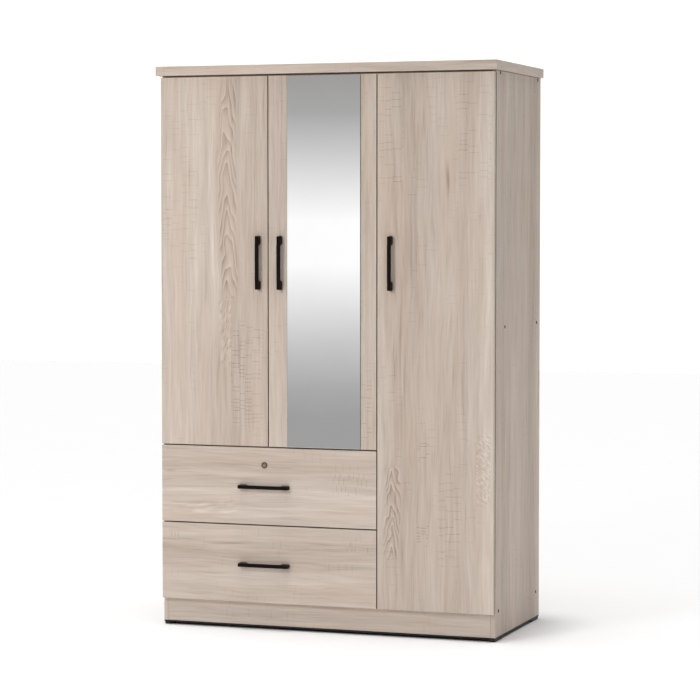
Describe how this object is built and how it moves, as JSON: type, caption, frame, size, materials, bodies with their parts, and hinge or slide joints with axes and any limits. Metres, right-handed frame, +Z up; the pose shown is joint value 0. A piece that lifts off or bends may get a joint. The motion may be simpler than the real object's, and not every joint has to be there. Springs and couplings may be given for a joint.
{
  "type": "wardrobe",
  "caption": "Free-standing wardrobe with hinged doors, a mirror over most of the middle door, lockable drawers under it, bow handles and an overhanging top board.",
  "frame": {"origin": "on the floor under the middle of the bounding box", "axes": "+Z up, -Y out of the doors, +X to the right of someone facing the doors"},
  "size_m": [1.165, 0.5612, 1.843],
  "materials": {
    "oak_board": "oak-effect melamine with a rough-sawn print, low sheen",
    "hardboard": "thin painted fibreboard, matt",
    "foil_wrap": "foil-wrapped drawer board, matt",
    "black_metal": "black powder coat, satin",
    "black_plastic": "black moulded plastic",
    "runner_plastic": "light grey moulded runner",
    "mirror_glass": "silvered float glass",
    "nickel_steel": "nickel-plated pressed steel",
    "chrome": "bright chrome plate"
  },
  "bodies": {
    "carcass": {"side_panel_left": "oak_board", "side_panel_right": "oak_board", "bottom_panel": "oak_board", "sub_top_panel": "oak_board", "partition_panel": "oak_board", "top_board": "oak_board", "plinth_front": "oak_board", "plinth_back": "oak_board", "back_panel": "hardboard", "drawer_bay_shelf": "oak_board", "mid_shelf": "oak_board", "lower_shelf": "oak_board", "upper_shelf": "oak_board", "hanging_rail": "chrome", "rail_socket_left": "chrome", "rail_socket_right": "chrome", "base_edge_strip": "black_plastic", "glide_front_left": "black_plastic", "glide_front_right": "black_plastic", "glide_back_left": "black_plastic", "glide_back_right": "black_plastic", "runner_lower_left": "runner_plastic", "runner_lower_right": "runner_plastic", "runner_upper_left": "runner_plastic", "runner_upper_right": "runner_plastic", "hinge_arm_left_low": "nickel_steel", "hinge_arm_left_mid": "nickel_steel", "hinge_arm_left_high": "nickel_steel", "hinge_arm_mirror_low": "nickel_steel", "hinge_arm_mirror_mid": "nickel_steel", "hinge_arm_mirror_high": "nickel_steel", "hinge_arm_right_low": "nickel_steel", "hinge_arm_right_mid": "nickel_steel", "hinge_arm_right_high": "nickel_steel"},
    "door_left": {"door_panel_left": "oak_board", "handle_left": "black_metal", "hinge_cup_left_low": "nickel_steel", "hinge_cup_left_mid": "nickel_steel", "hinge_cup_left_high": "nickel_steel"},
    "door_mirror": {"door_panel_mirror": "oak_board", "handle_mirror": "black_metal", "mirror_glass": "mirror_glass", "hinge_cup_mirror_low": "nickel_steel", "hinge_cup_mirror_mid": "nickel_steel", "hinge_cup_mirror_high": "nickel_steel"},
    "door_right": {"door_panel_right": "oak_board", "handle_right": "black_metal", "hinge_cup_right_low": "nickel_steel", "hinge_cup_right_mid": "nickel_steel", "hinge_cup_right_high": "nickel_steel"},
    "drawer_upper": {"drawer_front_upper": "oak_board", "handle_drawer_upper": "black_metal", "drawer_wrap_upper": "foil_wrap", "drawer_bottom_upper": "hardboard", "lock_housing": "chrome"},
    "drawer_lower": {"drawer_front_lower": "oak_board", "handle_drawer_lower": "black_metal", "drawer_wrap_lower": "foil_wrap", "drawer_bottom_lower": "hardboard"},
    "lock": {"lock_plug": "chrome"}
  },
  "joints": [
    {"name": "door_left_swing", "type": "hinge", "parent": "carcass", "child": "door_left", "pos_m": [-0.5635, -0.25188, 1.2], "axis": [0, 0, -1], "range_deg": [0, 95]},
    {"name": "door_mirror_swing", "type": "hinge", "parent": "carcass", "child": "door_mirror", "pos_m": [0.172, -0.25188, 1.2], "axis": [0, 0, 1], "range_deg": [0, 95]},
    {"name": "door_right_swing", "type": "hinge", "parent": "carcass", "child": "door_right", "pos_m": [0.5635, -0.25188, 1.2], "axis": [0, 0, 1], "range_deg": [0, 95]},
    {"name": "drawer_upper_slide", "type": "slide", "parent": "carcass", "child": "drawer_upper", "axis": [0, -1, 0], "range_m": [0, 0.35]},
    {"name": "drawer_lower_slide", "type": "slide", "parent": "carcass", "child": "drawer_lower", "axis": [0, -1, 0], "range_m": [0, 0.35]},
    {"name": "lock_turn", "type": "hinge", "parent": "drawer_upper", "child": "lock", "pos_m": [-0.20675, -0.25, 0.542], "axis": [0, -1, 0], "range_deg": [0, 90]}
  ]
}
